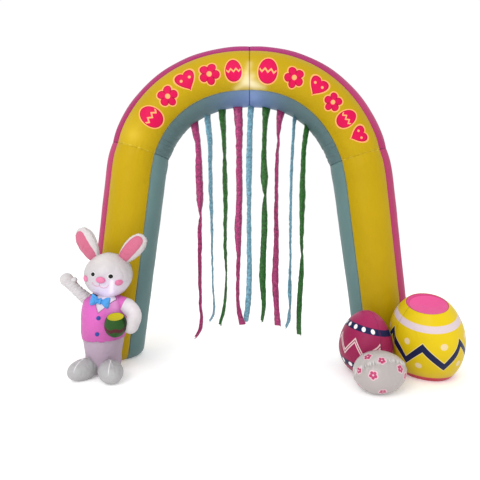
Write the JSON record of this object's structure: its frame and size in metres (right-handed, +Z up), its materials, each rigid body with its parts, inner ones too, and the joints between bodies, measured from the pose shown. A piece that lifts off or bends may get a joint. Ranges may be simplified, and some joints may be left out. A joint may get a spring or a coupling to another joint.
{
  "type": "inflatable arch",
  "caption": "Walk-through inflatable arch of lengthwise cloth panels, hung with twisted ribbons, with a waving rabbit at one foot and decorated eggs at the other.",
  "frame": {"origin": "on the ground, at the bottom centre of the box round the whole part", "axes": "+Z up, +X across the arch from the rabbit to the eggs, -Y toward the front"},
  "size_m": [2.7908, 1.101, 2.443],
  "materials": {
    "yellow_cloth": "satin coated cloth",
    "rose_cloth": "satin coated cloth",
    "slate_cloth": "satin coated cloth",
    "sky_cloth": "satin coated cloth",
    "green_cloth": "satin coated cloth",
    "white_cloth": "satin coated cloth",
    "pink_cloth": "satin coated cloth",
    "blue_cloth": "satin coated cloth",
    "navy_cloth": "satin coated cloth",
    "magenta_cloth": "satin coated cloth",
    "red_cloth": "satin coated cloth",
    "coral_cloth": "satin coated cloth",
    "black_cloth": "satin coated cloth"
  },
  "bodies": {
    "root": {"back_panel_left_arc": "yellow_cloth", "back_panel_left_leg": "yellow_cloth", "back_panel_right_arc": "yellow_cloth", "back_panel_right_leg": "yellow_cloth", "base_panel_left": "yellow_cloth", "base_panel_right": "yellow_cloth", "egg_magenta": "magenta_cloth", "egg_white": "white_cloth", "egg_yellow": "yellow_cloth", "egg_yellow_base": "red_cloth", "egg_yellow_top": "pink_cloth", "front_panel_left_arc": "yellow_cloth", "front_panel_left_leg": "yellow_cloth", "front_panel_right_arc": "yellow_cloth", "front_panel_right_leg": "yellow_cloth", "inner_panel_left_arc": "slate_cloth", "inner_panel_left_leg": "slate_cloth", "inner_panel_right_arc": "slate_cloth", "inner_panel_right_leg": "slate_cloth", "outer_panel_left_arc": "rose_cloth", "outer_panel_left_leg": "rose_cloth", "outer_panel_right_arc": "rose_cloth", "outer_panel_right_leg": "rose_cloth", "rabbit_arm_holding": "white_cloth", "rabbit_arm_waving": "white_cloth", "rabbit_bow": "blue_cloth", "rabbit_bow_knot": "blue_cloth", "rabbit_button_lower": "navy_cloth", "rabbit_button_upper": "navy_cloth", "rabbit_cheek_left": "coral_cloth", "rabbit_cheek_right": "coral_cloth", "rabbit_chest": "white_cloth", "rabbit_ear_left": "white_cloth", "rabbit_ear_lining_left": "coral_cloth", "rabbit_ear_lining_right": "coral_cloth", "rabbit_ear_right": "white_cloth", "rabbit_eye_left": "black_cloth", "rabbit_eye_right": "black_cloth", "rabbit_foot_left": "white_cloth", "rabbit_foot_right": "white_cloth", "rabbit_head": "white_cloth", "rabbit_hips": "white_cloth", "rabbit_nose": "coral_cloth", "rabbit_pot": "green_cloth", "rabbit_pot_top": "yellow_cloth", "rabbit_vest": "pink_cloth", "ribbon_1_rose": "rose_cloth", "ribbon_2_sky": "sky_cloth", "ribbon_3_green": "green_cloth", "ribbon_4_rose": "rose_cloth", "ribbon_5_sky": "sky_cloth", "ribbon_6_green": "green_cloth", "ribbon_7_rose": "rose_cloth", "ribbon_8_sky": "sky_cloth", "ribbon_9_green": "green_cloth"}
  },
  "joints": []
}
